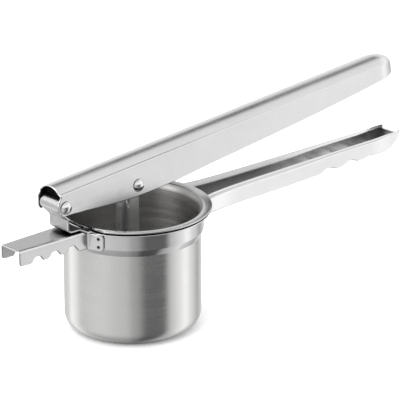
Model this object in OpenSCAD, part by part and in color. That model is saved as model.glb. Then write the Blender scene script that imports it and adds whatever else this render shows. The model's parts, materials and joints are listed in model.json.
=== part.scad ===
// Potato ricer: a perforated basket in a ring frame, a notched front rest, a lower handle,
// and a lever that drives a swinging press disc down the basket.
// +X runs towards the handle ends, +Z is up, and the origin is the centre of the basket's base.

/* [Basket] */
// Outer radius of the basket's straight wall
basket_r = 43; // [42.8:0.1:43]
// Height of the basket's lip above its base
basket_h = 79.4; // [79:0.1:79.6]
// Thickness of the basket's sheet
basket_t = 1; // [0.8:0.05:1]
// Outer radius between the base and the wall
base_corner = 10; // [9:0.5:11]
// Diameter of each sieve hole
hole_d = 3; // [2:0.25:3.5]
// Distance between neighbouring sieve holes
hole_pitch = 5.6; // [5:0.1:7]

/* [Ring frame] */
// Thickness of the sheet that the frame, rest and handle are pressed from
frame_t = 1.2; // [1:0.1:1.2]
// Outer radius of the collar round the basket
collar_r = 44.8; // [44.6:0.1:45]
// Height of the collar's lower edge
collar_z = 61.4; // [60:0.2:63]
// Outer radius of the collar's flange
flange_r = 48.9; // [48:0.1:49.2]

/* [Hinge] */
// Distance from the basket's axis back to the hinge pin
hinge_x = 61; // [60.5:0.1:61.5]
// Height of the hinge pin
hinge_z = 95; // [94.5:0.1:95.5]
// Radius of both rivets' shanks
pin_r = 2.25; // [2:0.05:2.3]
// Radial clearance round a rivet
pin_gap = 0.05; // [0.03:0.01:0.08]
// Radius of the rivets' domed heads
head_r = 4.1; // [3.8:0.1:4.4]
// Height of the rivets' domed heads
head_h = 2.4; // [2:0.1:3]

/* [Lever] */
// Length of the lever in front of the hinge pin
lever_len = 289; // [285:1:296]
// Width of the lever over its two sides
lever_w = 22; // [22:0.1:22.4]
// Thickness of the lever's sheet
lever_t = 1; // [0.8:0.05:1]
// Height of the lever's top above the hinge pin
lever_top = 13; // [12.6:0.1:14]
// Slope of the closed lever in degrees
lever_tilt = 4.93; // [4.8:0.01:5]

/* [Plunger] */
// Distance from the hinge pin to the plunger's rivet
crank = 57.5; // [57:0.1:58]
// Outer radius of the press disc
disc_r = 38.5; // [38:0.1:38.5]
// Height of the press disc's underside above the base
disc_z = 1.4; // [1.35:0.05:1.6]
// Height of the press disc's turned-up wall
disc_h = 9.6; // [9:0.2:10]
// Width of the stem across its two sides
stem_w = 14.2; // [12:0.2:15]
// Depth of the stem's sides
stem_d = 8.1; // [7.6:0.1:9]

/* [Front rest] */
// Distance from the basket's axis to the front end of the rest
rest_x = 96.2; // [95:0.2:98]
// Height of the rest's top
rest_z = 75.7; // [75:0.1:75.8]
// Distance between neighbouring notches
notch_pitch = 12.9; // [12.5:0.1:13]

/* [Lower handle] */
// Distance from the basket's axis to the end of the lower handle
handle_x = 232; // [228:0.5:240]
// Height of the lower handle's top edge
handle_z = 76; // [75.8:0.1:76.2]
// Half width of the lower handle's grip
handle_half = 8; // [7.6:0.1:8.4]

/* [Hidden] */
$fn = 96;

base_flat = basket_r - base_corner;
lip_root_z = basket_h - 4.9;
lip_bend = 3.4;
lip_r = basket_r + 6.9;
lip_cut_x = 43.4;
bore_r = pin_r + pin_gap;
barrel_r = bore_r + frame_t;
barrel_half = 9;
flange_z = basket_h - 2.9;
root_r = 4.5;
lever_half = lever_w / 2;
lever_in = lever_half - lever_t;
lever_nose = 17;
nose_len = 16;
nose_z = 5;
dome_z = 9.6;
dome_half = lever_half - 1.2;
dome_rise = lever_top - dome_z;
dome_r = (dome_half * dome_half + dome_rise * dome_rise) / (2 * dome_rise);
dome_a = acos(dome_half / dome_r);
ear_x = 4.9;
ear_low = -4.9;
stem_gap = 0.3;
plunger_x = crank - hinge_x;
plunger_z = hinge_z + 0.5;
stem_top_r = 5.2;
stem_x0 = plunger_x - stem_d / 2;
stem_x1 = plunger_x + stem_d / 2;
web_top = 79;
disc_t = 1.2;
disc_corner = 8;
stem_foot_z = disc_z + disc_t;
wing_r = collar_r + 0.05;
wing_low = 64.2;
wing_high = 75;
weld_r = 0.75;
rest_half_front = 9;
rest_half_back = 10.6;
tooth_z = 65.8;
notch_z = 69.7;
first_notch_x = -82.5;
handle_low = 62.1;
grooves = [[164.5, 8.5, 2.3], [184.8, 8.5, 2.2], [203.5, 6.5, 0.9]];
steel = "silver";
bright = "gainsboro";

// Points of an arc from angle a0 to a1 about c
function arc(c, r, a0, a1, n) =
    [for (i = [0:n]) let (a = a0 + (a1 - a0) * i / n) c + r * [cos(a), sin(a)]];
function unit(v) = v / norm(v);
function left_of(v) = [-v[1], v[0]];
function way(p, i) = unit(p[i + 1] - p[i]);
function miter(a, b) = let (n = unit(left_of(a) + left_of(b))) n / (n * left_of(a));
function normals(p) =
    [for (i = [0:len(p) - 1]) miter(way(p, max(i - 1, 0)), way(p, min(i, len(p) - 2)))];
// Outline of a sheet of thickness t whose middle follows the points p
function sheet(p, t) =
    let (n = normals(p), m = len(p) - 1)
    concat([for (i = [0:m]) p[i] + n[i] * t / 2], [for (i = [m:-1:0]) p[i] - n[i] * t / 2]);
function mirrored(p) = [for (i = [len(p) - 1:-1:0]) [p[i][0], -p[i][1]]];

// Extrudes an outline drawn in X and Z across Y, from -half to +half
module across(half) {
    translate([0, half, 0])
        rotate([90, 0, 0])
            linear_extrude(2 * half)
                children();
}

module both_sides() {
    children();
    mirror([0, 1, 0])
        children();
}

// A flat ring segment round the basket's axis between two angles
module ring_piece(r0, r1, z0, z1, a0, a1) {
    translate([0, 0, z0])
        rotate([0, 0, a0])
            rotate_extrude(angle = a1 - a0)
                translate([r0, 0])
                    square([r1 - r0, z1 - z0]);
}

// ---- basket ----

function basket_outline() = concat(
    [[0, 0]],
    arc([base_flat, base_corner], base_corner, -90, 0, 8),
    arc([basket_r + lip_bend, lip_root_z], lip_bend, 180, 98, 6),
    [[lip_r - 0.5, basket_h - 1.05], [lip_r, basket_h - 0.6], [lip_r - 0.4, basket_h]],
    arc([basket_r + lip_bend, lip_root_z], lip_bend + basket_t, 98, 180, 6),
    arc([base_flat, base_corner], base_corner - basket_t, 0, -90, 8),
    [[0, basket_t]]);

module base_holes() {
    reach = base_flat - 2.5;
    rows = floor(reach / (hole_pitch * sin(60)));
    for (j = [-rows:rows])
        for (i = [-8:8])
            let (p = hole_pitch * [i + j / 2, j * sin(60)])
                if (norm(p) + hole_d / 2 < reach)
                    translate([p[0], p[1], -1])
                        cylinder(d = hole_d, h = basket_t + 2, $fn = 24);
}

module basket() {
    color(bright)
        difference() {
            rotate_extrude()
                polygon(basket_outline());
            // the lip is trimmed flat beside the hinge
            translate([-lip_cut_x - 10, -40, lip_root_z])
                cube([10, 80, 10]);
            base_holes();
        }
}

// ---- ring frame with the hinge bracket ----

function collar_outline() = [
    [basket_r + 0.1, collar_z], [basket_r + 0.35, collar_z], [collar_r, collar_z + 3.8],
    [collar_r, flange_z - 1.1], [collar_r + 0.5, flange_z - 0.4], [flange_r, flange_z],
    [flange_r, flange_z + 0.9], [collar_r + 0.3, flange_z + 0.7], [collar_r - 0.7, flange_z - 0.1],
    [collar_r - 1, flange_z - 0.8],
    [collar_r - 1, collar_z + 4], [basket_r + 0.1, collar_z + 2]];

// The bracket's sheet rises from the flange, past the basket's lip, to the hinge barrel
function bracket_path() = concat(
    [[-44, flange_z + 0.2], [-46.5, flange_z + 0.8], [-49, 78.5], [-50.5, 78.8]],
    arc([-55.2, 80.4], 1.6, -90, -180, 3),
    [[-56.8, 86.2], [-57.6, 87.4], [-61.8, 91.7]],
    arc([-hinge_x, hinge_z], barrel_r - frame_t / 2, -136, -180, 3));

module bracket() {
    difference() {
        union() {
            across(barrel_half)
                polygon(sheet(bracket_path(), frame_t));
            across(barrel_half)
                translate([-hinge_x, hinge_z])
                    circle(barrel_r);
        }
        across(barrel_half + 1)
            translate([-hinge_x, hinge_z])
                circle(bore_r);
        // the curl's free end stops just short of the sheet
        across(barrel_half + 1)
            translate([-hinge_x, hinge_z])
                rotate(-84)
                    translate([bore_r - 0.5, -0.3])
                        square([frame_t + 1, 0.6]);
    }
}

// The bracket's root widens into the flange with a rounded inner corner on each side
function root_edge() = concat(
    [[-collar_r + 0.9, barrel_half + root_r]],
    arc([-collar_r - root_r, barrel_half + root_r], root_r, 0, -90, 6));
module bracket_root() {
    intersection() {
        across(20)
            polygon(sheet(bracket_path(), frame_t));
        linear_extrude(90)
            polygon(concat(root_edge(), mirrored(root_edge())));
    }
}

module ring_frame() {
    color(steel)
        union() {
            difference() {
                rotate_extrude()
                    polygon(collar_outline());
                translate([-collar_r - 10, -40, flange_z - 1.1])
                    cube([10, 80, 5]);
            }
            bracket();
            bracket_root();
        }
}

// ---- front rest ----

function rest_plan(d) = [
    [-rest_x, -rest_half_front + d], [-collar_r + 6, -rest_half_back + d],
    [-collar_r + 6, rest_half_back - d], [-rest_x, rest_half_front - d]];

// One notch, from the left-hand tooth to the right-hand tooth, cut in the lower edge
function notch(x) = [
    [x - 4.7, tooth_z + 0.4], [x - 3.6, tooth_z + 1.6], [x - 2.4, notch_z - 0.5],
    [x - 1.3, notch_z], [x + 1.3, notch_z], [x + 2.4, notch_z - 0.5],
    [x + 3.6, tooth_z + 1.6], [x + 4.7, tooth_z + 0.4]];

function rest_side() = concat(
    [[-rest_x, rest_z], [-rest_x, 69], [-rest_x + 0.6, 67.6], [-rest_x + 2, 66.8]],
    [for (i = [0:2]) each notch(first_notch_x + i * notch_pitch)],
    [[-51.6, 65.2], [-50.4, wing_low], [-collar_r + 6, wing_low], [-collar_r + 6, rest_z]]);

module weld_marks(a) {
    for (z = [66.9, 72.1])
        translate([0, 0, z])
            rotate([0, 0, a])
                translate([wing_r + frame_t - 0.35, 0, 0])
                    rotate([0, 90, 0])
                        cylinder(r = weld_r, h = 2, $fn = 24);
}

module rest_wing() {
    ring_piece(wing_r, wing_r + frame_t, wing_low, wing_high, 152.8, 168);
}

module front_rest() {
    color(steel)
        difference() {
            union() {
                difference() {
                    intersection() {
                        translate([0, 0, 60])
                            linear_extrude(20)
                                polygon(rest_plan(0));
                        across(14)
                            polygon(rest_side());
                    }
                    translate([0, 0, 59])
                        linear_extrude(rest_z - frame_t - 59)
                            polygon(rest_plan(frame_t));
                    translate([-rest_x - 1, -rest_half_front + frame_t, 59])
                        cube([4, 2 * (rest_half_front - frame_t), rest_z - frame_t - 59]);
                }
                both_sides()
                    rest_wing();
            }
            translate([0, 0, 50])
                cylinder(r = wing_r, h = 40);
            both_sides()
                weld_marks(157.2);
        }
}

// ---- lower handle ----

// How far one finger groove lifts the underside at x
function groove_lift(g, x) =
    abs(x - g[0]) < g[1] ? g[2] * (1 + cos(180 * (x - g[0]) / g[1])) / 2 : 0;
function under_base(x) =
    x < 70 ? handle_low : handle_low + 3.2 * pow((x - 70) / (217 - 70), 1.3);
function under(x) = under_base(x) + groove_lift(grooves[0], x)
    + groove_lift(grooves[1], x) + groove_lift(grooves[2], x);

// Side outline of the handle, drawn inside the real one by d
function handle_side(d) = concat(
    [[40, handle_z + 3 * d], [40, wing_low + d], [50, wing_low + d], [55, handle_low + d]],
    [for (x = [75:25:150]) [x, under(x) + d]],
    [for (x = [154:2:216]) [x, under(x) + d]],
    arc([handle_x - 12.5, 77.8], 12.5 - d, -90, -10, 7),
    [[handle_x - d, handle_z + 3 * d]]);

// Half width of the handle's outside at x
function half_at(x) = handle_half - 0.5 * exp(-pow((x - 140) / 30, 2))
    + 4.1 * exp(-(x - 50) / 16);
function handle_edge(d) = concat(
    [[40, half_at(47) - d]],
    [for (x = [47:4:75]) [x, half_at(x) - d]],
    [for (x = [85:15:220]) [x, half_at(x) - d]],
    arc([handle_x - 3, handle_half - 3], 3 - d, 90, 0, 4));
function handle_plan(d) = concat(handle_edge(d), mirrored(handle_edge(d)));

module handle_solid(d) {
    intersection() {
        translate([0, 0, 55])
            linear_extrude(30)
                polygon(handle_plan(d));
        across(20)
            polygon(handle_side(d));
    }
}

module lower_handle() {
    color(steel)
        difference() {
            union() {
                difference() {
                    handle_solid(0);
                    handle_solid(frame_t);
                }
                both_sides()
                    ring_piece(wing_r, wing_r + frame_t, wing_low, wing_high, 13, 29);
            }
            translate([0, 0, 50])
                cylinder(r = wing_r, h = 40);
            both_sides()
                weld_marks(23.5);
        }
}

// ---- lever, drawn level with the hinge pin at its origin ----

// Upper curve of the lever's end, drawn inside the real one by d
function nose_top(d) =
    [for (a = [10:10:90]) [lever_len - nose_len + (nose_len - d) * cos(a),
                           nose_z + (lever_top - nose_z - d) * sin(a)]];

// Side outline of the lever
function lever_side() = concat(
    [[-ear_x + 1.8, lever_top], [-ear_x + 1.8, 6.5], [-ear_x, 5]],
    arc([-ear_x + 3.4, ear_low + 3.4], 3.4, 180, 270, 4),
    [[1, ear_low], [12, -6.3], [30, -8.8], [46, -10.8], [58, -11.5], [76, -11.6], [90, -11.3],
     [108, -10.2], [142, -8.3], [178, -6.3], [214, -4.4], [250, -2.2], [266, -0.8]],
    arc([lever_len - nose_z + 0.2, nose_z], nose_z - 0.2, -80, 0, 6),
    nose_top(0));

// Side outline of the hollow, open below
function hollow_side() = concat(
    [[-20, lever_top - lever_t], [-20, -25], [lever_len - lever_t, -25],
     [lever_len - lever_t, nose_z]],
    nose_top(lever_t));

// Half of the cross-section, drawn inside the real one by d: an upright side, a small ledge
// and a domed top
function lever_edge(d) = concat(
    [[lever_half - d, -30], [lever_half - d, dome_z - 1.4 - d],
     [lever_half - 0.5 - d, dome_z - 0.6 - d]],
    arc([0, lever_top - dome_r], dome_r - d, dome_a, 90, 8));
function lever_section(d) = let (e = lever_edge(d))
    concat(e, [for (i = [len(e) - 2:-1:0]) [-e[i][0], e[i][1]]]);

// Half of the plan outline, drawn inside the real one by d
function lever_rim(d) = concat(
    [[-40, lever_half - d]],
    [for (a = [90:-10:0]) [lever_len - lever_nose + (lever_nose - d) * cos(a),
                           (lever_half - d) * sin(a)]]);

// The solid within a side outline and the section and plan drawn inside by d
module lever_solid(side, d) {
    intersection() {
        across(20)
            polygon(side);
        translate([-30, 0, 0])
            rotate([90, 0, 90])
                linear_extrude(lever_len + 60)
                    polygon(lever_section(d));
        translate([0, 0, -30])
            linear_extrude(60)
                polygon(concat(lever_rim(d), mirrored(lever_rim(d))));
    }
}

// Places children from the lever's level frame into the closed position
module lever_place() {
    translate([-hinge_x, 0, hinge_z])
        rotate([0, -lever_tilt, 0])
            children();
}

// Bore across both sides for a rivet at x, z
module cross_bore(x, z) {
    translate([x, 15, z])
        rotate([90, 0, 0])
            cylinder(r = bore_r, h = 30);
}

module lever() {
    color(bright)
        difference() {
            lever_place()
                difference() {
                    lever_solid(lever_side(), 0);
                    lever_solid(hollow_side(), lever_t);
                }
            cross_bore(-hinge_x, hinge_z);
            cross_bore(plunger_x, plunger_z);
        }
}

// ---- rivets and spacers ----

// Rivet across the lever, with a domed head on each side
module rivet(x, z) {
    dome = (head_r * head_r + head_h * head_h) / (2 * head_h);
    start = asin((dome - head_h) / dome);
    translate([x, 0, z])
        rotate([90, 0, 0])
            rotate_extrude()
                polygon(concat(
                    [for (p = arc([0, lever_half + head_h - dome], dome, 90, start, 8)) p],
                    [[pin_r, lever_half], [pin_r, -lever_half]],
                    [for (p = arc([0, dome - head_h - lever_half], dome, -start, -90, 8)) p]));
}

module hinge_rivet() {
    color(bright)
        rivet(-hinge_x, hinge_z);
}

module plunger_rivet() {
    color(bright)
        rivet(plunger_x, plunger_z);
}

module stem_spacers() {
    spacer_len = lever_in - stem_w / 2 - stem_gap;
    color(steel)
        both_sides()
            translate([plunger_x, lever_in, plunger_z])
                rotate([90, 0, 0])
                    difference() {
                        cylinder(r = pin_r + 1.5, h = spacer_len);
                        translate([0, 0, -1])
                            cylinder(r = bore_r, h = spacer_len + 2);
                    }
}

// ---- plunger ----

// Side of the stem: a long strip with a rounded top round the rivet
module stem_side() {
    difference() {
        across(stem_w / 2)
            union() {
                translate([stem_x0, stem_foot_z])
                    square([stem_d, plunger_z - stem_foot_z]);
                intersection() {
                    translate([plunger_x, plunger_z])
                        circle(stem_top_r);
                    translate([stem_x0, plunger_z - 1])
                        square([stem_d, 10]);
                }
            }
        across(stem_w / 2 - frame_t)
            translate([stem_x0 - 1, stem_foot_z - 1])
                square([stem_d + 2, plunger_z]);
    }
}

// Back of the stem, with its rounded upper corners
module stem_web() {
    translate([stem_x1 - frame_t, 0, 0])
        rotate([90, 0, 90])
            linear_extrude(frame_t)
                difference() {
                    translate([-stem_w / 2, stem_foot_z])
                        square([stem_w, web_top - stem_foot_z]);
                    translate([0, web_top + 2])
                        circle(4.5);
                }
}

module stem_foot() {
    difference() {
        translate([stem_x0 - 8, -stem_w / 2 - 6, stem_foot_z])
            cube([stem_d + 16, stem_w + 12, frame_t]);
        for (x = [stem_x0 - 4, stem_x1 + 4])
            for (y = [-8, 8])
                translate([x, y, stem_foot_z + frame_t - 0.35])
                    cylinder(r = 1.2, h = 2, $fn = 24);
    }
}

module plunger_stem() {
    color(steel)
        difference() {
            union() {
                stem_side();
                stem_web();
                stem_foot();
            }
            cross_bore(plunger_x, plunger_z);
        }
}

function disc_outline() = concat(
    [[0, disc_z]],
    arc([disc_r - disc_corner, disc_z + disc_corner], disc_corner, -90, 0, 6),
    [[disc_r, disc_z + disc_h], [disc_r - disc_t, disc_z + disc_h]],
    arc([disc_r - disc_corner, disc_z + disc_corner], disc_corner - disc_t, 0, -90, 6),
    [[0, disc_z + disc_t]]);

module press_disc() {
    color(steel)
        rotate_extrude()
            polygon(disc_outline());
}

basket();
ring_frame();
front_rest();
lower_handle();
lever();
hinge_rivet();
plunger_rivet();
stem_spacers();
plunger_stem();
press_disc();
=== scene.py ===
"""Looks for the potato ricer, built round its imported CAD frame.

Shapes are worked out in millimetres in the CAD frame and turned into metres when a mesh is made.
"""
import json
import math

import bmesh
import bpy
import numpy as np
from mathutils import Matrix, Vector, geometry


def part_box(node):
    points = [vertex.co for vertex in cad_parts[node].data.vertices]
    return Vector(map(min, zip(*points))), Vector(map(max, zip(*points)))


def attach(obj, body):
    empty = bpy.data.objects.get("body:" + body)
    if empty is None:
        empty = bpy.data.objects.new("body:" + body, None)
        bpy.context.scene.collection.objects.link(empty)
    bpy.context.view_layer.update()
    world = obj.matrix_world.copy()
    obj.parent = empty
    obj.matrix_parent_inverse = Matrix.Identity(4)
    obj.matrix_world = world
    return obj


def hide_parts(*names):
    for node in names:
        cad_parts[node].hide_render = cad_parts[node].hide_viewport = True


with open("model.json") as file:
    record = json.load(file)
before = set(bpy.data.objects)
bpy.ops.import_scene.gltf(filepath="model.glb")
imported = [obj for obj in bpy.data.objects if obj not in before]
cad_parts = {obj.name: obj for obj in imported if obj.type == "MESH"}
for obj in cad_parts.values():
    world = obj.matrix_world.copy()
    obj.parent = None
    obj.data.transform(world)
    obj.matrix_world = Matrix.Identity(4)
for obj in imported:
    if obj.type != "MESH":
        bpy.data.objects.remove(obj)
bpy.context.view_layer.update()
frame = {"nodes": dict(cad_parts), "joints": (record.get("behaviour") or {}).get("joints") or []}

MM = 0.001
SHARP_ANGLE = 42


def box_mm(node):
    """Lowest and highest corner of a CAD node, in millimetres"""
    low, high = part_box(node)
    return np.array(low) / MM, np.array(high) / MM


JOINTS = {j["name"]: j for j in frame["joints"]}
HINGE = np.array(JOINTS["lever_hinge"]["pos_m"]) / MM

# Basket
LIP_R = box_mm("basket")[1][0]
BASKET_H = box_mm("basket")[1][2]
BASKET_R = LIP_R - 6.9
BASKET_T = 1.0
BASE_CORNER = 10.0
BASE_FLAT = BASKET_R - BASE_CORNER
LIP_BEND = 3.4
LIP_ROOT = BASKET_H - 4.9
LIP_CUT = 43.4
ROLL_R = 0.65
ROUND = 240
HOLE_R = 1.5
HOLE_PITCH = 5.6

# Ring frame
SHEET = 1.2
FLANGE_R = box_mm("ring_frame")[1][0]
COLLAR_R = FLANGE_R - 4.1
COLLAR_LOW = box_mm("ring_frame")[0][2]
FLANGE_Z = BASKET_H - 2.9
BARREL_HALF = 9.0
BARREL_R = 2.9
ROOT_R = 4.5
WING_R = COLLAR_R + 0.05 + SHEET

# Front rest
REST_X = -box_mm("front_rest")[0][0]
REST_Z = box_mm("front_rest")[1][2]
WING_LOW = box_mm("front_rest")[0][2]
WING_HIGH = 75.0
WELD_HEIGHTS = (66.9, 72.1)
WELD_R = 0.75
REST_WELD = 22.8
GRIP_WELD = 23.5
NOTCHES = [-82.5 + 12.9 * i for i in range(3)]

# Lower handle
GRIP_X = box_mm("lower_handle")[1][0]
GRIP_Z = box_mm("lower_handle")[1][2]
GRIP_LOW = box_mm("lower_handle")[0][2]
GRIP_HALF = 8.0
GRIP_END = 12.5
GROOVES = [(164.5, 8.5, 2.3), (184.8, 8.5, 2.2), (203.5, 6.5, 0.9)]

# Lever, measured from its pin
LEVER_LEN = 289.0
LEVER_HALF = box_mm("lever")[1][1]
LEVER_T = 1.0
LEVER_TOP = 13.0
LEVER_TILT = math.radians(4.93)
NOSE = 17.0
NOSE_TOP = 16.0
NOSE_Z = 5.0
SHOULDER_Z = 7.9
SHOULDER_R = 1.1
LEVER_LEAN = 0.8
LEVER_REAR = 4.9

# Plunger
STEM_BOX = box_mm("plunger_stem")
STEM_X = float(STEM_BOX[0][0] + STEM_BOX[1][0]) / 2
STEM_DEEP = STEM_BOX[1][0] - STEM_BOX[0][0] - 16
STEM_WIDE = STEM_BOX[1][1] * 2 - 12
STEM_TOP_R = 5.2
STEM_PIN = STEM_BOX[1][2] - STEM_TOP_R
WEB_TOP = BASKET_H - 0.4


# ---- shape helpers ----

def unit(v):
    """Vectors scaled to length 1"""
    return v / np.maximum(np.linalg.norm(v, axis=-1, keepdims=True), 1e-9)


def smooth(x, a, b):
    """0 before a, 1 after b, and an even turn between them"""
    t = np.clip((x - a) / (b - a), 0, 1)
    return t * t * (3 - 2 * t)


def arc(centre, radius, a0, a1, n):
    """Points of an arc, with angles in degrees"""
    a = np.radians(np.linspace(a0, a1, n))
    return np.stack([centre[0] + radius * np.cos(a), centre[1] + radius * np.sin(a)], -1)


def rounded(points, radius, n=6, closed=False):
    """The outline through points, with each corner turned on the given radius"""
    p = [np.array(q, float) for q in points]
    count = len(p)
    out = []
    for i, q in enumerate(p):
        if not closed and i in (0, count - 1):
            out.append(q)
            continue
        before, after = p[i - 1] - q, p[(i + 1) % count] - q
        la, lb = np.linalg.norm(before), np.linalg.norm(after)
        u, v = before / la, after / lb
        half = math.acos(max(-1.0, min(1.0, float(u @ v)))) / 2
        if half > 1.55:
            out.append(q)
            continue
        cut = min(radius / math.tan(half), 0.45 * la, 0.45 * lb)
        start, end = q + u * cut, q + v * cut
        for s in np.linspace(0, 1, n):
            out.append((1 - s) ** 2 * start + 2 * s * (1 - s) * q + s * s * end)
    return np.array(out)


def resample(points, step):
    """Even steps along an outline"""
    run = np.concatenate([[0], np.cumsum(np.linalg.norm(np.diff(points, axis=0), axis=1))])
    s = np.linspace(0, run[-1], max(2, int(run[-1] / step) + 1))
    return np.stack([np.interp(s, run, points[:, k]) for k in range(points.shape[1])], -1)


def soften(y, width):
    """A run of evenly spaced values with its corners softened over width samples"""
    k = np.exp(-0.5 * (np.arange(-3 * width, 3 * width + 1) / width) ** 2)
    padded = np.pad(y, 3 * width, mode="edge")
    return np.convolve(padded, k / k.sum(), mode="valid")


def side_normals(points):
    """Left-hand normals along a flat outline"""
    t = unit(np.gradient(points, axis=0))
    return np.stack([-t[:, 1], t[:, 0]], -1)


class Piece:
    """Collects closed shells of one piece, in millimetres, and makes its mesh"""

    def __init__(self):
        self.verts = []
        self.faces = []
        self.paint = []
        self.sharp = []

    def add(self, verts, faces, paint=0, flat=False):
        """Adds a shell; paint is its place in the list of materials"""
        base = len(self.verts)
        self.verts += [tuple(map(float, v)) for v in verts]
        self.faces += [tuple(base + i for i in f) for f in faces]
        self.paint += [paint] * len(faces)
        self.sharp += [flat] * len(faces)

    def make(self, name, body, nodes, materials, marks=None):
        """Makes the mesh and says what it rides on and replaces. marks gives weld marks."""
        mesh = bpy.data.meshes.new(name)
        bm = bmesh.new()
        verts = [bm.verts.new(Vector(v) * MM) for v in self.verts]
        for f, paint, flat in zip(self.faces, self.paint, self.sharp):
            if len(set(f)) < 3:
                continue
            face = bm.faces.new([verts[i] for i in f])
            face.material_index = paint
            face.smooth = not flat
        bmesh.ops.remove_doubles(bm, verts=bm.verts, dist=2e-7)
        bmesh.ops.dissolve_degenerate(bm, edges=bm.edges, dist=1e-8)
        bmesh.ops.recalc_face_normals(bm, faces=bm.faces)
        bm.to_mesh(mesh)
        bm.free()
        mesh.set_sharp_from_angle(angle=math.radians(SHARP_ANGLE))
        for m in materials:
            mesh.materials.append(m)
        if marks is not None:
            layer = mesh.attributes.new("mark", "FLOAT", "POINT")
            layer.data.foreach_set("value", [marks(v.co / MM) for v in mesh.vertices])
        piece = bpy.data.objects.new(name, mesh)
        bpy.context.scene.collection.objects.link(piece)
        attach(piece, body)
        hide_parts(*nodes)
        return piece


def edge_loop(rows, cols, welded_end=False):
    """Grid places round the open edge of a sheet, and whether they close"""
    near = [(i, 0) for i in range(rows - 1, 0, -1)]
    start = [(0, j) for j in range(cols)]
    far = [(i, cols - 1) for i in range(1, rows)]
    if welded_end:
        return near + start + far, False
    return near + start + far + [(rows - 1, j) for j in range(cols - 2, 0, -1)], True


def sheet_shell(piece, outer, thickness, flip=False, welded_end=False, paints=(0, 0, 0), bead=5):
    """A pressed sheet below a grid of outer points, with half-round edges. paints gives the
    materials of its outer side, inner side and edges."""
    rows, cols = outer.shape[:2]
    normal = unit(np.cross(np.gradient(outer, axis=0), np.gradient(outer, axis=1)))
    if flip:
        normal = -normal
    if welded_end:
        mean = unit(normal[-1] + normal[-1][::-1] * [1, -1, 1])
        mean[:, 1] = 0
        normal[-1] = unit(mean)
    inner = outer - normal * thickness
    verts = list(outer.reshape(-1, 3)) + list(inner.reshape(-1, 3))
    faces, backs, rims = [], [], []
    for i in range(rows - 1):
        for j in range(cols - 1):
            quad = [i * cols + j, (i + 1) * cols + j, (i + 1) * cols + j + 1, i * cols + j + 1]
            faces.append(quad)
            backs.append([rows * cols + k for k in reversed(quad)])
    loop, closed = edge_loop(rows, cols, welded_end)
    p = np.array([outer[i, j] for i, j in loop])
    n = np.array([normal[i, j] for i, j in loop])
    inside = np.array([outer[min(max(i, 1), rows - 2), min(max(j, 1), cols - 2)]
                       for i, j in loop])
    along = np.roll(p, -1, 0) - np.roll(p, 1, 0) if closed else np.gradient(p, axis=0)
    out = unit(np.cross(along, n))
    if np.sum(out * (p - inside)) < 0:
        out = -out
    centre, r = p - n * thickness / 2, thickness / 2
    rings = [[i * cols + j for i, j in loop]]
    for k in range(1, bead):
        a = math.pi * k / bead
        base = len(verts)
        verts += list(centre + r * (math.cos(a) * n + math.sin(a) * out))
        rings.append([base + q for q in range(len(loop))])
    rings.append([rows * cols + i * cols + j for i, j in loop])
    count = len(loop)
    for a, b in zip(rings, rings[1:]):
        for q in range(count if closed else count - 1):
            w = (q + 1) % count
            rims.append([a[q], a[w], b[w], b[q]])
    for part, paint in zip((faces, backs, rims), paints):
        piece.add(verts, part, paint)


def turned(piece, profile, paints, segments, limit=None, closed=True):
    """A profile of radius and height turned round Z, with one material per profile stretch.
    limit(angles, profile) may pull points in, as where a rim is trimmed straight."""
    a = np.linspace(0, 2 * math.pi, segments, endpoint=False)
    r = np.repeat(profile[None, :, 0], segments, 0)
    z = np.repeat(profile[None, :, 1], segments, 0)
    if limit:
        r, z = limit(a, r, z)
    verts = np.stack([r * np.cos(a)[:, None], r * np.sin(a)[:, None], z], -1).reshape(-1, 3)
    n = len(profile)
    for paint in sorted(set(paints)):
        faces = []
        for i in range(segments):
            k = (i + 1) % segments
            for j in range(n if closed else n - 1):
                if paints[j] == paint:
                    m = (j + 1) % n
                    faces.append([i * n + j, k * n + j, k * n + m, i * n + m])
        piece.add(verts, faces, paint)


# ---- materials ----

class Nodes:
    """Short names for adding and joining shader nodes"""

    def __init__(self, tree):
        self.tree = tree

    def add(self, kind, inputs=None, **settings):
        node = self.tree.nodes.new(kind)
        for key, value in settings.items():
            setattr(node, key, value)
        for key, value in (inputs or {}).items():
            if isinstance(value, bpy.types.NodeSocket):
                self.tree.links.new(value, node.inputs[key])
            else:
                node.inputs[key].default_value = value
        return node

    def math(self, operation, a, b=0.0):
        return self.add("ShaderNodeMath", {0: a, 1: b}, operation=operation).outputs[0]

    def spread(self, value, low, high, from_low=0.0, from_high=1.0):
        return self.add("ShaderNodeMapRange", {"Value": value, "From Min": from_low,
                        "From Max": from_high, "To Min": low, "To Max": high}).outputs[0]

    def noise(self, vector, scale, detail=3.0, rough=0.55):
        return self.add("ShaderNodeTexNoise", {"Vector": vector, "Scale": scale,
                        "Detail": detail, "Roughness": rough}).outputs[0]


def mix_colour(n, factor, a, b, mode="MIX"):
    """Mixes two colours, or a colour socket and a colour"""
    node = n.tree.nodes.new("ShaderNodeMix")
    node.data_type = "RGBA"
    node.blend_type = mode
    for socket, value in zip((node.inputs[0], node.inputs[6], node.inputs[7]), (factor, a, b)):
        if isinstance(value, bpy.types.NodeSocket):
            n.tree.links.new(value, socket)
        else:
            socket.default_value = value
    return node.outputs[2]


def grey(v, warm=0.0):
    """A grey of brightness v, warmer or cooler by warm"""
    return (v * (1 + warm), v, v * (1 - 1.5 * warm), 1)


def ramp_of(n, value, stops, low, high):
    """Brightness along a colour ramp whose stops run from low to high"""
    ramp = n.add("ShaderNodeValToRGB", {0: value})
    ramp.color_ramp.interpolation = "EASE"
    marks = ramp.color_ramp.elements
    for k, (place, brightness) in enumerate(stops):
        at = (place - low) / (high - low)
        mark = marks[k] if k < 2 else marks.new(at)
        mark.position = at
        mark.color = grey(brightness)
    return ramp.outputs[0]


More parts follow.
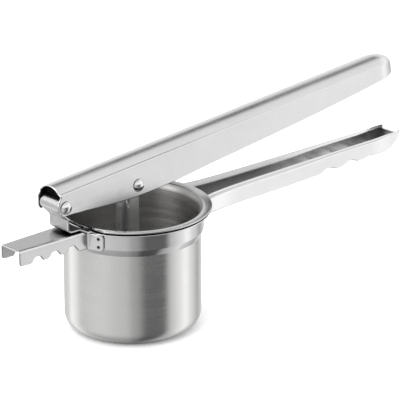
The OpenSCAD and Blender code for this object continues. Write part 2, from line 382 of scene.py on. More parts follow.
def steel(name, tone, rough, grain="round", fine=0.5, cloud=0.05, bump=0.12, aniso=0.0,
          warm=0.0, marks=False, streak=0.1, crease=(0.1, 0.6), top=1.0, along=None,
          metal=1.0):
    """Stainless steel with a brushed grain, faint clouding, worn edges and rubbed smudges,
    and painted shade in its corners and creases from an ambient occlusion node.
    grain is round for turned parts, or long, lever or upright for parts brushed one way.
    crease is how open a corner is where the painted shade starts to darken it, top the
    painted-shade tone of surfaces that face up, and along gives painted-shade tones by place
    along X in millimetres. metal 0 keeps a crevice painted dark at grazing angles, where metal
    always turns white."""
    mat = bpy.data.materials.new(name)
    mat.use_nodes = True
    tree = mat.node_tree
    n = Nodes(tree)
    shader = tree.nodes["Principled BSDF"]
    place = n.add("ShaderNodeTexCoord").outputs["Object"]
    if grain == "round":
        xyz = n.add("ShaderNodeSeparateXYZ", {0: place})
        angle = n.math("ARCTAN2", xyz.outputs[1], xyz.outputs[0])
        around = n.math("SINE", angle)
        across = n.math("COSINE", angle)
        radius = n.math("SQRT", n.math("ADD", n.math("POWER", xyz.outputs[0], 2.0),
                                       n.math("POWER", xyz.outputs[1], 2.0)))
        height = n.math("ADD", n.math("MULTIPLY", xyz.outputs[2], 900.0),
                        n.math("MULTIPLY", radius, 900.0))
        grainy = n.add("ShaderNodeCombineXYZ", {0: around, 1: across, 2: height}).outputs[0]
    else:
        turn = {"long": (0, 0, 0), "lever": (0, LEVER_TILT, 0), "upright": (0, math.pi / 2, 0)}
        grainy = n.add("ShaderNodeMapping", {"Vector": place, "Rotation": turn[grain],
                       "Scale": (14, 900, 900)}).outputs[0]
    hair = n.noise(grainy, 2.2 * fine, 5.0, 0.62)
    band = n.noise(grainy, 0.32 * fine, 3.0, 0.5)
    clouds = n.noise(place, 38.0, 4.0, 0.6)
    smudge = n.noise(place, 95.0, 6.0, 0.7)
    wear = n.spread(n.add("ShaderNodeNewGeometry").outputs["Pointiness"], 0.0, 1.0, 0.52, 0.6)
    streaks = n.math("ADD", n.math("MULTIPLY", hair, 0.55), n.math("MULTIPLY", band, 0.45))
    base = mix_colour(n, n.spread(streaks, 0.0, 1.0, 0.3, 0.7),
                      grey(tone * (1 - streak), warm), grey(min(1.0, tone * (1 + streak)), warm))
    base = mix_colour(n, n.spread(clouds, 0.0, 1.0, 0.35, 0.7), base,
                      grey(tone * (1 + cloud), warm))
    base = mix_colour(n, n.math("MULTIPLY", wear, 0.5), base, grey(min(1.0, tone * 1.25)))
    # Painted shade: surfaces facing up are darkened to the top tone.
    if top < 1:
        facing = n.add("ShaderNodeSeparateXYZ",
                       {0: n.add("ShaderNodeTexCoord").outputs["Normal"]}).outputs[2]
        shade = n.spread(facing, 1.0, top, 0.7, 0.9)
        base = mix_colour(n, 1.0, base, shade, "MULTIPLY")
    # Painted shade: tones ramped along X darken parts of an inside, such as near the hinge and
    # the closed end.
    if along:
        reach = n.add("ShaderNodeSeparateXYZ", {0: place}).outputs[0]
        low, high = along[0][0], along[-1][0]
        reach = n.spread(reach, 0.0, 1.0, low * MM, high * MM)
        base = mix_colour(n, 1.0, base, ramp_of(n, reach, along, low, high), "MULTIPLY")
    # Painted shade: ambient occlusion darkens the base colour in corners, creases and between
    # parts.
    painted_crease_shade = n.add("ShaderNodeAmbientOcclusion", {"Distance": 0.007}, samples=4).outputs["AO"]
    base = mix_colour(n, n.spread(painted_crease_shade, 1.0, 0.0, *crease), base, grey(tone * 0.2))
    gloss = n.spread(streaks, rough * 0.8, rough * 1.25, 0.3, 0.7)
    gloss = n.math("ADD", gloss, n.spread(smudge, -0.02, 0.04, 0.35, 0.75))
    gloss = n.math("SUBTRACT", gloss, n.math("MULTIPLY", wear, 0.06))
    if marks:
        mark = n.add("ShaderNodeAttribute", attribute_name="mark").outputs["Fac"]
        base = mix_colour(n, mark, base, (0.035, 0.032, 0.03, 1))
        gloss = n.math("ADD", gloss, n.math("MULTIPLY", mark, 0.3))
    tree.links.new(base, shader.inputs["Base Color"])
    tree.links.new(gloss, shader.inputs["Roughness"])
    shader.inputs["Metallic"].default_value = metal
    if metal < 1:
        shader.inputs["Specular IOR Level"].default_value = 0.12
    rise = n.add("ShaderNodeBump", {"Height": streaks, "Strength": bump, "Distance": 0.0002})
    dents = n.add("ShaderNodeBump", {"Height": clouds, "Strength": 0.015 + 0.3 * bump,
                  "Distance": 0.0006, "Normal": rise.outputs[0]})
    tree.links.new(dents.outputs[0], shader.inputs["Normal"])
    if aniso:
        shader.inputs["Anisotropic"].default_value = aniso
        shader.inputs["Anisotropic Rotation"].default_value = 0.25
        tangent = n.add("ShaderNodeTangent", direction_type="RADIAL", axis="Z")
        tree.links.new(tangent.outputs[0], shader.inputs["Tangent"])
    return mat


POT_WALL = steel("pot_wall", 0.72, 0.24, "round", 0.8, cloud=0.02, bump=0.003, aniso=0.8,
                 warm=0.006, streak=0.03)
# Painted shade: the pot's inside is a darker copy of its steel.
POT_INSIDE = steel("pot_inside_painted_shade", 0.37, 0.4, "round", 0.5, bump=0.1, aniso=0.8, warm=0.015,
                   streak=0.25)
POT_LIP = steel("pot_lip", 0.56, 0.14, "round", 0.4, bump=0.02, streak=0.04)
POT_BASE = steel("pot_base", 0.62, 0.3, "long", 0.7)
# Painted shade: near-black, non-metal underside of the lip.
POT_GAP = steel("pot_lip_underside_painted_shade", 0.06, 0.5, "round", 0.5, metal=0.0)
COLLAR = steel("collar_polish", 0.68, 0.14, "round", 0.5, bump=0.008, aniso=0.5, streak=0.05)
# Painted highlight: the flange is a brighter copy of the collar's steel.
FLANGE = steel("flange_painted_highlight", 0.85, 0.2, "round", 0.5, bump=0.02, streak=0.04)
BRACKET = steel("bracket_steel", 0.56, 0.24, "long", 0.7, cloud=0.2, bump=0.08)
# Painted shade: near-black, non-metal hidden side of the bracket and hinge tongue.
BRACKET_BACK = steel("bracket_back_painted_shade", 0.03, 0.55, "long", 0.7, metal=0.0)
# Painted shade: top=0.62 darkens the rest's upward faces.
REST = steel("rest_steel", 0.74, 0.2, "long", 0.7, bump=0.05, marks=True, streak=0.05,
             top=0.62)
# Painted shade: the rest's inner side is a darker copy of its steel.
REST_BACK = steel("rest_back_painted_shade", 0.4, 0.3, "long", 0.7, streak=0.05)
GRIP = steel("grip_steel", 0.75, 0.16, "long", 0.6, bump=0.04, marks=True, streak=0.03)
# Painted shade: the handle's inside is darkened along X near the pot and at the closed end.
GRIP_BACK = steel("grip_back_painted_shade", 0.9, 0.22, "long", 0.6, bump=0.04, streak=0.05,
                  along=[(40, 0.66), (120, 0.66), (160, 0.85), (214, 0.9), (222, 0.3),
                         (233, 0.12)])
LEVER = steel("lever_satin", 0.75, 0.24, "lever", 0.6, bump=0.03, streak=0.03)
# Painted shade: the lever's inside is darkened along X toward the hinge.
LEVER_BACK = steel("lever_back", 0.7, 0.32, "lever", 0.6, bump=0.08,
                   along=[(-64, 0.1), (-40, 0.14), (-10, 0.6), (40, 0.9), (232, 0.9)])
RIVET = steel("rivet_chrome", 0.8, 0.12, "long", 0.4, bump=0.02, streak=0.03,
              crease=(0.45, 0.95))
STEM = steel("stem_satin", 0.95, 0.34, "upright", 0.7, bump=0.03, crease=(0.25, 0.75))
DISC = steel("disc_satin", 0.6, 0.3, "round", 0.7, bump=0.12)


# ---- basket ----

def lip_profile():
    """Outer side up to the rolled lip, then the inner side down again"""
    outer = np.concatenate([
        arc((BASE_FLAT, BASE_CORNER), BASE_CORNER, -90, 0, 16),
        np.stack([np.full(12, BASKET_R), np.linspace(14, LIP_ROOT - 3, 12)], -1),
        arc((BASKET_R + LIP_BEND, LIP_ROOT), LIP_BEND, 180, 96, 12)])
    roll = arc((LIP_R - ROLL_R, BASKET_H - ROLL_R), ROLL_R, -85, 100, 12)
    inner = np.concatenate([
        arc((BASKET_R + LIP_BEND, LIP_ROOT), LIP_BEND + BASKET_T, 100, 180, 14),
        np.stack([np.full(12, BASKET_R - BASKET_T), np.linspace(LIP_ROOT - 3, 14, 12)], -1),
        arc((BASE_FLAT, BASE_CORNER), BASE_CORNER - BASKET_T, 0, -90, 16)])
    return outer, roll, inner


def hole_centres():
    """Places of the sieve holes, in a triangular pattern"""
    reach = BASE_FLAT - 2.5
    rows = int(reach / (HOLE_PITCH * math.sin(math.radians(60))))
    for j in range(-rows, rows + 1):
        for i in range(-8, 9):
            p = HOLE_PITCH * np.array([i + j / 2, j * math.sin(math.radians(60))])
            if np.linalg.norm(p) + HOLE_R < reach:
                yield p


def sieve(piece, segments, paint):
    """The flat base with its punched holes, each with a small chamfer"""
    turn = np.linspace(0, 2 * math.pi, segments, endpoint=False)
    ring = np.stack([BASE_FLAT * np.cos(turn), BASE_FLAT * np.sin(turn)], -1)
    points, edges = [Vector(p) for p in ring], [(i, (i + 1) % segments) for i in range(segments)]
    count, chamfer = 28, 0.15
    small = np.linspace(0, 2 * math.pi, count, endpoint=False)
    circle = np.stack([np.cos(small), np.sin(small)], -1)
    centres = list(hole_centres())
    for c in centres:
        base = len(points)
        points += [Vector(c + (HOLE_R + chamfer) * p) for p in circle]
        edges += [(base + i, base + (i + 1) % count) for i in range(count)]
    flat = geometry.delaunay_2d_cdt(points, edges, [], 1, 1e-6)
    xy = np.array([tuple(v) for v in flat[0]])
    kept = [f for f in flat[2]
            if min(np.linalg.norm(xy[list(f)].mean(0) - c) for c in centres) > HOLE_R * 0.9]
    for z in (0.0, BASKET_T):
        piece.add([(x, y, z) for x, y in xy], kept, paint, flat=True)
    for c in centres:
        steps = [(HOLE_R + chamfer, 0.0), (HOLE_R, chamfer), (HOLE_R, BASKET_T - chamfer),
                 (HOLE_R + chamfer, BASKET_T)]
        verts = [(c[0] + r * x, c[1] + r * y, z) for r, z in steps for x, y in circle]
        faces = [[k * count + i, k * count + (i + 1) % count,
                  (k + 1) * count + (i + 1) % count, (k + 1) * count + i]
                 for k in range(3) for i in range(count)]
        piece.add(verts, faces, paint, flat=True)


def build_basket():
    """The pot with its rolled lip, trimmed straight beside the hinge, and its sieve"""
    outer, roll, inner = lip_profile()
    profile = np.concatenate([outer, roll, inner])
    wall, roll_start = len(outer) - 10, len(outer) + 2
    lip = len(outer) + len(roll) + 3
    # Paint 4 is the painted shade under the lip.
    paints = [0] * wall + [4] * (roll_start - wall) + [2] * (lip - roll_start)
    paints += [1] * (len(profile) - lip)
    edge = [(LIP_R, BASKET_H - ROLL_R)]
    under = np.concatenate([outer[-12:], [(LIP_R - ROLL_R, BASKET_H - 2 * ROLL_R)], edge])
    over = np.concatenate([inner[:14][::-1], [(LIP_R - ROLL_R, BASKET_H)], edge])

    def trim(a, r, z):
        reach = np.where(np.cos(a) < -0.5, LIP_CUT / np.maximum(-np.cos(a), 0.01), 1e3)[:, None]
        past = r > reach
        top = np.arange(len(profile))[None, :] >= len(outer) + 6
        low = np.interp(reach, under[:, 0], under[:, 1])
        high = np.interp(reach, over[:, 0], over[:, 1])
        return np.where(past, reach, r), np.where(past, np.where(top, high, low), z)

    piece = Piece()
    turned(piece, profile, paints, ROUND, trim, closed=False)
    sieve(piece, ROUND, 3)
    return piece.make("basket_shell", "frame", ["basket"],
                      [POT_WALL, POT_INSIDE, POT_LIP, POT_BASE, POT_GAP])


# ---- ring frame ----

def build_ring_frame():
    """The collar and flange, and the tongue that rises and curls into the hinge barrel"""
    c, f = COLLAR_R, FLANGE_Z
    outline = rounded([
        (BASKET_R + 0.12, COLLAR_LOW), (BASKET_R + 0.4, COLLAR_LOW), (c, COLLAR_LOW + 4.2),
        (c, f - 1.1), (c + 0.6, f - 0.5), (FLANGE_R, f - 0.4), (FLANGE_R, f + 0.3),
        (c + 0.3, f + 0.5), (c - 1, f - 0.6), (c - 1, COLLAR_LOW + 4.4),
        (BASKET_R + 0.12, COLLAR_LOW + 2)], 0.8, 5, closed=True)

    def trim(a, r, z):
        reach = np.where(np.cos(a) < -0.5, c / np.maximum(-np.cos(a), 0.01), 1e3)[:, None]
        return np.minimum(r, reach), z

    piece = Piece()
    # Paint 3 is the flange's painted highlight.
    paints = [3 if z > FLANGE_Z - 1.3 else 0 for _, z in outline]
    turned(piece, outline, paints, ROUND, trim)
    bend = rounded([(-43.9, f + 0.2), (-46.5, f + 0.8), (-49, 78.5), (-56.8, 78.8), (-56.8, 86.3),
                    (-61.8, 91.7)], 1.6, 7)
    curl = arc((HINGE[0], HINGE[2]), BARREL_R, -136, -440, 60)
    path = resample(np.concatenate([bend, curl]), 0.5)
    half = np.where(path[:, 0] > -COLLAR_R - ROOT_R,
                    BARREL_HALF + ROOT_R - np.sqrt(np.maximum(
                        ROOT_R ** 2 - np.maximum(path[:, 0] + COLLAR_R + ROOT_R, 0) ** 2, 0)),
                    BARREL_HALF)
    half = np.where(path[:, 1] > 80, BARREL_HALF, half) - SHEET / 2
    side = path + side_normals(path) * SHEET / 2
    across = np.linspace(-1, 1, 31)
    grid = np.stack([np.repeat(side[:, :1], 31, 1), half[:, None] * across[None, :],
                     np.repeat(side[:, 1:], 31, 1)], -1)
    # Paint 2 puts the bracket's painted shade on one side of the tongue.
    sheet_shell(piece, grid, SHEET, flip=True, paints=(2, 1, 1))
    return piece.make("ring_frame_shell", "frame", ["ring_frame"],
                      [COLLAR, BRACKET, BRACKET_BACK, FLANGE])


# ---- wings that wrap the collar, shared by the rest and the lower handle ----

def wing(piece, side, toward, wall_y, end_angle, dimple_angle, fillet=1.3, lead=4.0):
    """A sheet that leaves a side wall and follows the collar to end_angle, in degrees from the
    wall's own direction. toward is -1 for the rest and 1 for the handle."""
    far = WING_R + fillet
    cy = wall_y + fillet
    cx = math.sqrt(far * far - cy * cy)
    start = math.degrees(math.atan2(cy, cx))
    run_in = np.linspace(0, 1, 12)
    line = np.stack([cx + lead * (1 - run_in), wall_y - 0.8 * (1 - run_in) ** 2], -1)
    turn = arc((cx, cy), fillet, -90, start - 180, 12)
    wrap = arc((0, 0), WING_R, start, end_angle - math.degrees(0.6 / WING_R), 40)
    path = resample(np.concatenate([line, turn[1:], wrap[1:]]), 0.3)
    run = np.arange(len(path))[::-1] * 0.3
    corner = 2.0
    trim = corner - np.sqrt(np.maximum(corner ** 2 - np.maximum(corner - run, 0) ** 2, 0))
    low = WING_LOW + 0.6 + trim
    high = WING_HIGH - 0.6 - trim
    up = np.linspace(0, 1, 37)
    z = low[:, None] + (high - low)[:, None] * up[None, :]
    spot = WING_R * np.array([math.cos(math.radians(dimple_angle)),
                              math.sin(math.radians(dimple_angle))])
    depth = np.zeros_like(z)
    for height in WELD_HEIGHTS:
        away = np.sqrt(np.sum((path - spot) ** 2, 1)[:, None] + (z - height) ** 2)
        depth += 0.45 * np.exp(-(away / WELD_R) ** 4)
    centre = unit(path)
    x = toward * (path[:, :1] - centre[:, :1] * depth)
    y = side * (path[:, 1:] - centre[:, 1:] * depth)
    grid = np.stack([x, y, z], -1)
    sheet_shell(piece, grid, SHEET, flip=(side * toward < 0))


def weld_mark(angle):
    """How dark the spot welds are at a point"""
    spots = [Vector((WING_R * math.cos(math.radians(angle)) * s, WING_R * w
                     * math.sin(math.radians(angle)), h))
             for s in (-1, 1) for w in (-1, 1) for h in WELD_HEIGHTS]

    def at(p):
        """1 on a weld, 0 away from one"""
        away = min((p - q).length for q in spots)
        return max(0.0, min(1.0, (1.35 - away) / 0.6))
    return at


# ---- front rest ----

def notched_edge(x):
    """Height of the rest's lower edge at x"""
    z = np.interp(x, [-REST_X, -REST_X + 0.5, -REST_X + 1.2, -REST_X + 2.4, -88, -52, -51.4, -50],
                  [69, 67.7, 66.9, 66.4, 66.2, 66.2, 65.2, WING_LOW])
    for c in NOTCHES:
        dip = np.interp(np.abs(x - c), [0, 1.3, 2.4, 3.6, 4.7], [69.7, 69.7, 69.2, 67.4, 66.2])
        z = np.where(np.abs(x - c) < 4.7, dip, z)
    return z


def build_rest():
    """The notched channel that hooks on a bowl, with its two wings"""
    x = np.arange(-REST_X + 0.6, -COLLAR_R + 1.5, 0.3)
    low = soften(notched_edge(x) + np.where(x < -51.4, 0, 0.6), 1)
    half = np.interp(x, [-REST_X, -COLLAR_R + 6], [9, 10.6])
    bend, top = 1.9, REST_Z
    rise = np.linspace(0, 1, 16)
    rows = []
    for xi, zi, h in zip(x, low, half):
        wall = [(-h, zi + (top - bend - zi) * s) for s in rise]
        corner = [tuple(p) for p in arc((-h + bend, top - bend), bend, 180, 90, 8)[1:]]
        edge = wall + corner
        flat = [(y, top) for y in np.linspace(-h + bend, h - bend, 12)[1:-1]]
        rows.append([(xi, y, z) for y, z in edge + flat + [(-a, b) for a, b in edge[::-1]]])
    grid = np.array(rows)
    reach = np.sqrt((WING_R - 0.9) ** 2 - grid[:, :, 1] ** 2)
    grid[:, :, 0] = np.minimum(grid[:, :, 0], -reach)
    piece = Piece()
    sheet_shell(piece, grid, SHEET, paints=(0, 1, 0))
    for side in (-1, 1):
        wing(piece, side, -1, float(np.interp(-47, x, half)) + 0.04, 27.2, REST_WELD)
    return piece.make("front_rest_shell", "frame", ["front_rest"],
                      [REST, REST_BACK], weld_mark(REST_WELD))


# ---- lower handle ----

def grip_under(x):
    """Height of the handle's underside at x"""
    rise = 3.2 * (np.maximum(x - 70, 0) / 147) ** 1.3
    z = GRIP_LOW + np.maximum(rise - 0.9, 0)
    for centre, reach, lift in GROOVES:
        inside = np.abs(x - centre) < reach
        z = z + np.where(inside, lift * (1 + np.cos(math.pi * (x - centre) / reach)) / 2, 0)
    z = np.where(x < 56, GRIP_LOW + 2.1 * (1 - smooth(x, 49, 56)), z)
    tip = np.clip(x - (GRIP_X - GRIP_END), 0, GRIP_END * math.cos(math.radians(11)))
    return np.where(x > GRIP_X - GRIP_END, 77.8 - np.sqrt(GRIP_END ** 2 - tip ** 2), z)


def build_handle():
    """The open channel with finger grooves and a closed end, with its two wings"""
    turn = np.radians(np.linspace(0, 79, 22))
    x = np.concatenate([np.arange(43, 60, 0.5), np.arange(60, 150, 2.0),
                        np.arange(150, GRIP_X - GRIP_END, 0.8),
                        GRIP_X - GRIP_END + 11.9 * np.sin(turn) / math.sin(turn[-1])])
    half = GRIP_HALF - 0.5 * np.exp(-((x - 140) / 30) ** 2) \
        + 4.1 * np.exp(-(np.maximum(x, 47) - 50) / 16)
    corner = np.clip(x - (GRIP_X - 1.6), 0, 1)
    half = half - (1 - np.sqrt(1 - corner ** 2))
    low = grip_under(x)
    curl = 1 - 0.55 * smooth(x, 130, 180) - 0.45 * smooth(x, 205, GRIP_X - 8)
    rows = []
    for xi, h, zb, c in zip(x, half, low, curl):
        flare, drop = 0.2 + 0.9 * c, 3.0 * c
        wall_top = GRIP_Z - 0.6 - drop
        wall_y = h + 0.4 + 0.8 * c
        tall = max(wall_top - zb, 0.4)
        r = min(1.4, 0.5 * tall, wall_y * 0.6)
        edge = [(-wall_y - flare * s ** 1.15, wall_top + drop * s)
                for s in np.linspace(1, 0, 9)]
        edge += [(-wall_y, zb + r + (wall_top - zb - r) * s) for s in np.linspace(1, 0, 12)[1:]]
        edge += [tuple(p) for p in arc((-wall_y + r, zb + r), r, 180, 270, 9)[1:]]
        flat = [(y, zb) for y in np.linspace(-wall_y + r, wall_y - r, 9)[1:-1]]
        rows.append([(xi, y, z) for y, z in edge + flat + [(-p, q) for p, q in edge[::-1]]])
    grid = np.array(rows)
    near = np.sqrt((WING_R - 0.9) ** 2 - np.minimum(np.abs(grid[:, :, 1]), 30) ** 2)
    grid[:, :, 0] = np.maximum(grid[:, :, 0], near)
    piece = Piece()
    sheet_shell(piece, grid, SHEET, flip=True, paints=(0, 1, 0))
    for side in (-1, 1):
        wing(piece, side, 1, 11.0, 29, GRIP_WELD)
    return piece.make("lower_handle_shell", "frame", ["lower_handle"],
                      [GRIP, GRIP_BACK], weld_mark(GRIP_WELD))


# ---- lever ----

def lever_under(x):
    """Height of the lever's lower edge at x, from the pin"""
    z = np.interp(x, [1, 12, 30, 46, 58, 76, 90, 108, 142, 178, 214, 250, 266, 281, LEVER_LEN],
                  [-4.9, -6.3, -8.8, -10.8, -11.5, -11.6, -11.3, -10.2, -8.3, -6.3, -4.4, -2.2,
                   -0.8, 0.3, 1.4])
    return z - 1.2 * smooth(x, 90, 200)


def lever_back(z):
    """Where the lever's rear edge is at height z: a round ear below, a step above it"""
    ear = -1.5 - np.sqrt(np.maximum(3.4 ** 2 - np.minimum(z + 1.5, 0) ** 2, 0))
    return ear + 1.8 * smooth(z, 4.4, 7.0)


def lever_half_section(slope):
    """Half of the cross-section from the near rim to the top, as place across and height.
    The shoulder turns in until it has the given slope, and the dome rises from there."""
    shoulder = arc((-LEVER_HALF + LEVER_LEAN + SHOULDER_R, SHOULDER_Z), SHOULDER_R,
                   180, 90 + slope, 9)[1:]
    y1, z1 = shoulder[-1]
    rise = LEVER_TOP - z1
    radius = (y1 * y1 + rise * rise) / (2 * rise)
    spread = math.degrees(math.asin(min(1.0, -y1 / radius)))
    dome = arc((0, LEVER_TOP - radius), radius, 90 + spread, 90, 22)[1:]
    return np.concatenate([shoulder, dome])


def build_lever():
    """The long upside-down channel with a domed top and a closed, rounded end"""
    long_run = np.concatenate([
        -LEVER_REAR + np.arange(0, 20, 0.8), np.arange(15.5, LEVER_LEN - NOSE, 2.5),
        LEVER_LEN - NOSE + NOSE * np.sin(np.radians(np.linspace(0, 90, 34)))])
    even = np.arange(-10, LEVER_LEN + 10, 1.0)
    under = soften(lever_under(even), 4)
    tau = LEVER_TILT
    rows = []
    for x in long_run:
        slope = -14 + 54 * float(smooth(x, 60, 260))
        upper = lever_half_section(slope)
        low = float(np.interp(x, even, under)) + LEVER_T / 2
        t = (np.arange(26) / 26) ** 1.5
        half = [(-LEVER_HALF + LEVER_LEAN * s, low + (SHOULDER_Z - low) * s) for s in t] + \
            [(-LEVER_HALF + LEVER_LEAN, SHOULDER_Z)] + [tuple(p) for p in upper]
        half = np.array(half)
        for _ in range(2):
            part = half[26:-1]
            part[1:-1] = (part[:-2] + 2 * part[1:-1] + part[2:]) / 4
        full = np.concatenate([half, (half * [-1, 1])[::-1][1:]])
        wide = math.sqrt(max(0.0, 1 - (max(0.0, x - LEVER_LEN + NOSE) / NOSE) ** 2))
        drop = max(0.0, x - LEVER_LEN + NOSE_TOP) / NOSE_TOP
        top = NOSE_Z + (LEVER_TOP - NOSE_Z) * math.sqrt(max(0.0, 1 - drop ** 2))
        y = full[:, 0] * wide
        z = low + (full[:, 1] - low) * (top - low) / (LEVER_TOP - low)
        pull = max(0.0, 1 - (x + LEVER_REAR) / 16) ** 2
        xs = x + (lever_back(z) + LEVER_REAR + LEVER_T / 2) * pull
        rows.append(np.stack([HINGE[0] + xs * math.cos(tau) - z * math.sin(tau), y,
                              HINGE[2] + xs * math.sin(tau) + z * math.cos(tau)], -1))
    piece = Piece()
    sheet_shell(piece, np.array(rows), LEVER_T, welded_end=True, paints=(0, 1, 0))
    return piece.make("lever_shell", "lever", ["lever"], [LEVER, LEVER_BACK])


# ---- plunger's stem ----

def build_stem():
    """A channel with rounded bends and ears, on a foot spot-welded to the disc"""
    x0, x1, wide = STEM_X - STEM_DEEP / 2, STEM_X + STEM_DEEP / 2, STEM_WIDE / 2
    outline = resample(rounded([(x0 + 0.6, -wide), (x1, -wide), (x1, wide), (x0 + 0.6, wide)],
                               1.8, 12), 0.35)
    foot_low = STEM_BOX[0][2]
    ear = STEM_PIN + np.sqrt(STEM_TOP_R ** 2 - (outline[:, 0] - STEM_X) ** 2)
    notch = WEB_TOP + 2 - np.sqrt(np.maximum(4.5 ** 2 - outline[:, 1] ** 2, 0))
    web = np.where(np.abs(outline[:, 1]) < 4.03, np.minimum(notch, WEB_TOP), WEB_TOP)
    across = smooth(wide - np.abs(outline[:, 1]), 0.3, 1.9) * (outline[:, 0] > STEM_X)
    top = soften(ear + (web - ear) * across, 1) - 0.6
    up = np.linspace(0, 1, 60)
    low = foot_low + 0.7
    grid = np.stack([np.repeat(outline[None, :, 0], 60, 0), np.repeat(outline[None, :, 1], 60, 0),
                     low + (top[None, :] - low) * up[:, None]], -1)
    piece = Piece()
    sheet_shell(piece, grid, SHEET, flip=True)
    x = np.arange(x0 - 8 + 0.6, x1 + 8 - 0.5, 0.45)
    y = np.linspace(-wide - 5.4, wide + 5.4, 56)
    z = np.full((len(x), len(y)), foot_low + SHEET)
    for cx in (x0 - 4, x1 + 4):
        for cy in (-8, 8):
            away = np.hypot(x[:, None] - cx, y[None, :] - cy)
            z -= 0.35 * np.exp(-(away / 1.2) ** 4)
    flat = np.stack([np.repeat(x[:, None], len(y), 1), np.repeat(y[None, :], len(x), 0), z], -1)
    sheet_shell(piece, flat, SHEET)
    return piece.make("plunger_stem_shell", "plunger", ["plunger_stem"], [STEM])


def paint_node(node, material):
    """Gives a CAD node that stays its finished material"""
    mesh = frame["nodes"][node].data
    if not mesh.materials:
        mesh.materials.append(material)
    for i in range(len(mesh.materials)):
        mesh.materials[i] = material


build_basket()
build_ring_frame()
build_rest()
build_handle()
build_lever()
build_stem()
for node_name, finish in (("hinge_rivet", RIVET), ("plunger_rivet", RIVET),
                          ("stem_spacers", STEM), ("press_disc", DISC)):
    paint_node(node_name, finish)


# ---- studio ----

def emission(name, colour, strength):
    """A glowing material, its nodes and its emission node"""
    mat = bpy.data.materials.new(name)
    mat.use_nodes = True
    mat.node_tree.nodes.clear()
    n = Nodes(mat.node_tree)
    glow = n.add("ShaderNodeEmission", {"Color": colour, "Strength": strength})
    out = n.add("ShaderNodeOutputMaterial")
    mat.node_tree.links.new(glow.outputs[0], out.inputs[0])
    return mat, n, glow


def stage_object(name, shape, **size):
    """An object of the stage, made by one bmesh operator"""
    mesh = bpy.data.meshes.new(name)
    bm = bmesh.new()
    shape(bm, **size)
    bm.to_mesh(mesh)
    bm.free()
    thing = bpy.data.objects.new(name, mesh)
    bpy.context.scene.collection.objects.link(thing)
    return thing


def build_floor():
    """A plain white floor"""
    floor = stage_object("floor", bmesh.ops.create_circle, cap_ends=True, segments=96,
                         radius=6.0)
    mat = bpy.data.materials.new("floor_white")
    mat.use_nodes = True
    shader = mat.node_tree.nodes["Principled BSDF"]
    shader.inputs["Base Color"].default_value = (0.9, 0.9, 0.9, 1)
    shader.inputs["Roughness"].default_value = 0.9
    shader.inputs["Specular IOR Level"].default_value = 0.0
    shader.inputs["Emission Color"].default_value = (1, 1, 1, 1)
    shader.inputs["Emission Strength"].default_value = 0.3
    floor.data.materials.append(mat)
    floor.visible_glossy = False


# Brightness of the soft studio wall, by degrees to the right of the camera, then above it and
# behind the set by degrees above the horizon, and how it fades toward the ground
CARDS = [(-180, 0.8), (-150, 0.7), (-135, 0.85), (-121, 1.3), (-108, 1.05), (-94, 0.72),
         (-50, 0.8), (-12, 0.68), (6, 0.45), (26, 0.15), (54, 0.15), (70, 0.75), (84, 0.98),
         (100, 1.3), (118, 0.9), (140, 0.5), (158, 0.6), (180, 0.8)]
ABOVE = [(0, 0.95), (14, 1.0), (28, 1.2), (42, 0.95), (55, 0.88), (90, 0.9)]
BEHIND = [(-90, 0.5), (-45, 0.8), (-25, 0.8), (-8, 0.9), (10, 0.95), (27, 0.9), (34, 0.6),
          (39, 0.13), (48, 0.13), (57, 0.8), (68, 1.0), (90, 0.95)]
GROUND = [(-90, 0.45), (-62, 0.6), (-32, 1.0)]
CAMERA_AZIMUTH = -132.4
DOME_R = 3.0


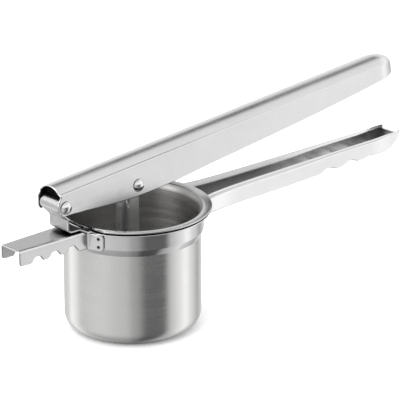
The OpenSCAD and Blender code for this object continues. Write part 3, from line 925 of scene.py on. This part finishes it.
def build_dome():
    """A dome of soft studio walls round the set, seen only in reflections"""
    dome = stage_object("studio_dome", bmesh.ops.create_uvsphere, u_segments=96,
                        v_segments=64, radius=DOME_R)
    mat, n, glow = emission("dome_glow", (1, 1, 1, 1), 1.0)
    xyz = n.add("ShaderNodeSeparateXYZ",
                {0: n.add("ShaderNodeTexCoord").outputs["Object"]})
    angle = n.math("ARCTAN2", xyz.outputs[1], xyz.outputs[0])
    turn = n.math("FRACT", n.math("ADD", n.math("DIVIDE", angle, 2 * math.pi),
                                  0.5 - CAMERA_AZIMUTH / 360 + 1))
    sine = n.math("DIVIDE", n.math("SUBTRACT", xyz.outputs[2], 0.08), DOME_R)
    rise = n.math("ADD", n.math("DIVIDE", n.math("ARCSINE", sine), math.pi), 0.5)
    side = ramp_of(n, turn, CARDS, -180, 180)
    above = ramp_of(n, rise, ABOVE, -90, 90)
    behind = ramp_of(n, rise, BEHIND, -90, 90)
    ground = ramp_of(n, rise, GROUND, -90, 90)
    up = n.add("ShaderNodeMapRange", {"Value": rise, "From Min": 0.52, "From Max": 0.62},
               interpolation_type="SMOOTHSTEP").outputs[0]
    back = n.add("ShaderNodeMapRange", {
        "Value": n.math("ABSOLUTE", n.math("SUBTRACT", turn, 0.5)),
        "From Min": 0.38, "From Max": 0.45}, interpolation_type="SMOOTHSTEP").outputs[0]
    window = n.spread(n.math("ABSOLUTE", n.math("SUBTRACT", turn, 0.31)), 3.2, 1.0, 0.02, 0.07)
    above = mix_colour(n, 1.0, above, window, "MULTIPLY")
    shade = mix_colour(n, back, mix_colour(n, up, side, above), behind)
    mat.node_tree.links.new(mix_colour(n, 1.0, shade, ground, "MULTIPLY"), glow.inputs["Color"])
    dome.data.materials.append(mat)
    dome.visible_camera = False
    dome.visible_diffuse = False
    dome.visible_shadow = False
    dome.visible_transmission = False


def soft_light(name, place, aim, size, power):
    """A round area light at place, aimed at aim, that reflections don't show"""
    data = bpy.data.lights.new(name, "AREA")
    data.shape = "DISK"
    data.size = size
    data.energy = power
    light = bpy.data.objects.new(name, data)
    light.location = place
    light.rotation_euler = (Vector(aim) - Vector(place)).to_track_quat("-Z", "Y").to_euler()
    light.visible_camera = False
    light.visible_glossy = False
    bpy.context.scene.collection.objects.link(light)


def build_studio():
    """Floor, dome, even white world and two soft lights"""
    build_floor()
    build_dome()
    world = bpy.data.worlds.new("studio")
    world.use_nodes = True
    world.node_tree.nodes["Background"].inputs[0].default_value = (1, 1, 1, 1)
    world.node_tree.nodes["Background"].inputs[1].default_value = 1.0
    bpy.context.scene.world = world
    soft_light("overhead", (-0.2, 0.3, 1.7), (0.03, 0, 0.05), 1.2, 16)
    soft_light("key", (-1.3, -0.5, 1.2), (0.0, 0, 0.06), 0.8, 9)
    bpy.context.scene.view_settings.view_transform = "Standard"


def build_camera():
    """Camera at the photo's angle: it looks slightly down from the front left"""
    azimuth, elevation = math.radians(42.37), math.radians(20.40)
    back = Vector((-math.sin(azimuth) * math.cos(elevation),
                   -math.cos(azimuth) * math.cos(elevation), math.sin(elevation)))
    right = Vector((math.cos(azimuth), -math.sin(azimuth), 0))
    up = back.cross(right)
    target = Vector((0.0404, -0.01826, 0.07696))
    data = bpy.data.cameras.new("camera")
    data.sensor_width = 36
    data.lens = 230.8
    data.clip_end = 30
    camera = bpy.data.objects.new("camera", data)
    turn = Matrix((right, up, back)).transposed().to_4x4()
    camera.matrix_world = Matrix.Translation(target + back * 1.6) @ turn
    bpy.context.scene.collection.objects.link(camera)
    bpy.context.scene.camera = camera


build_studio()
build_camera()

bpy.context.view_layer.update()
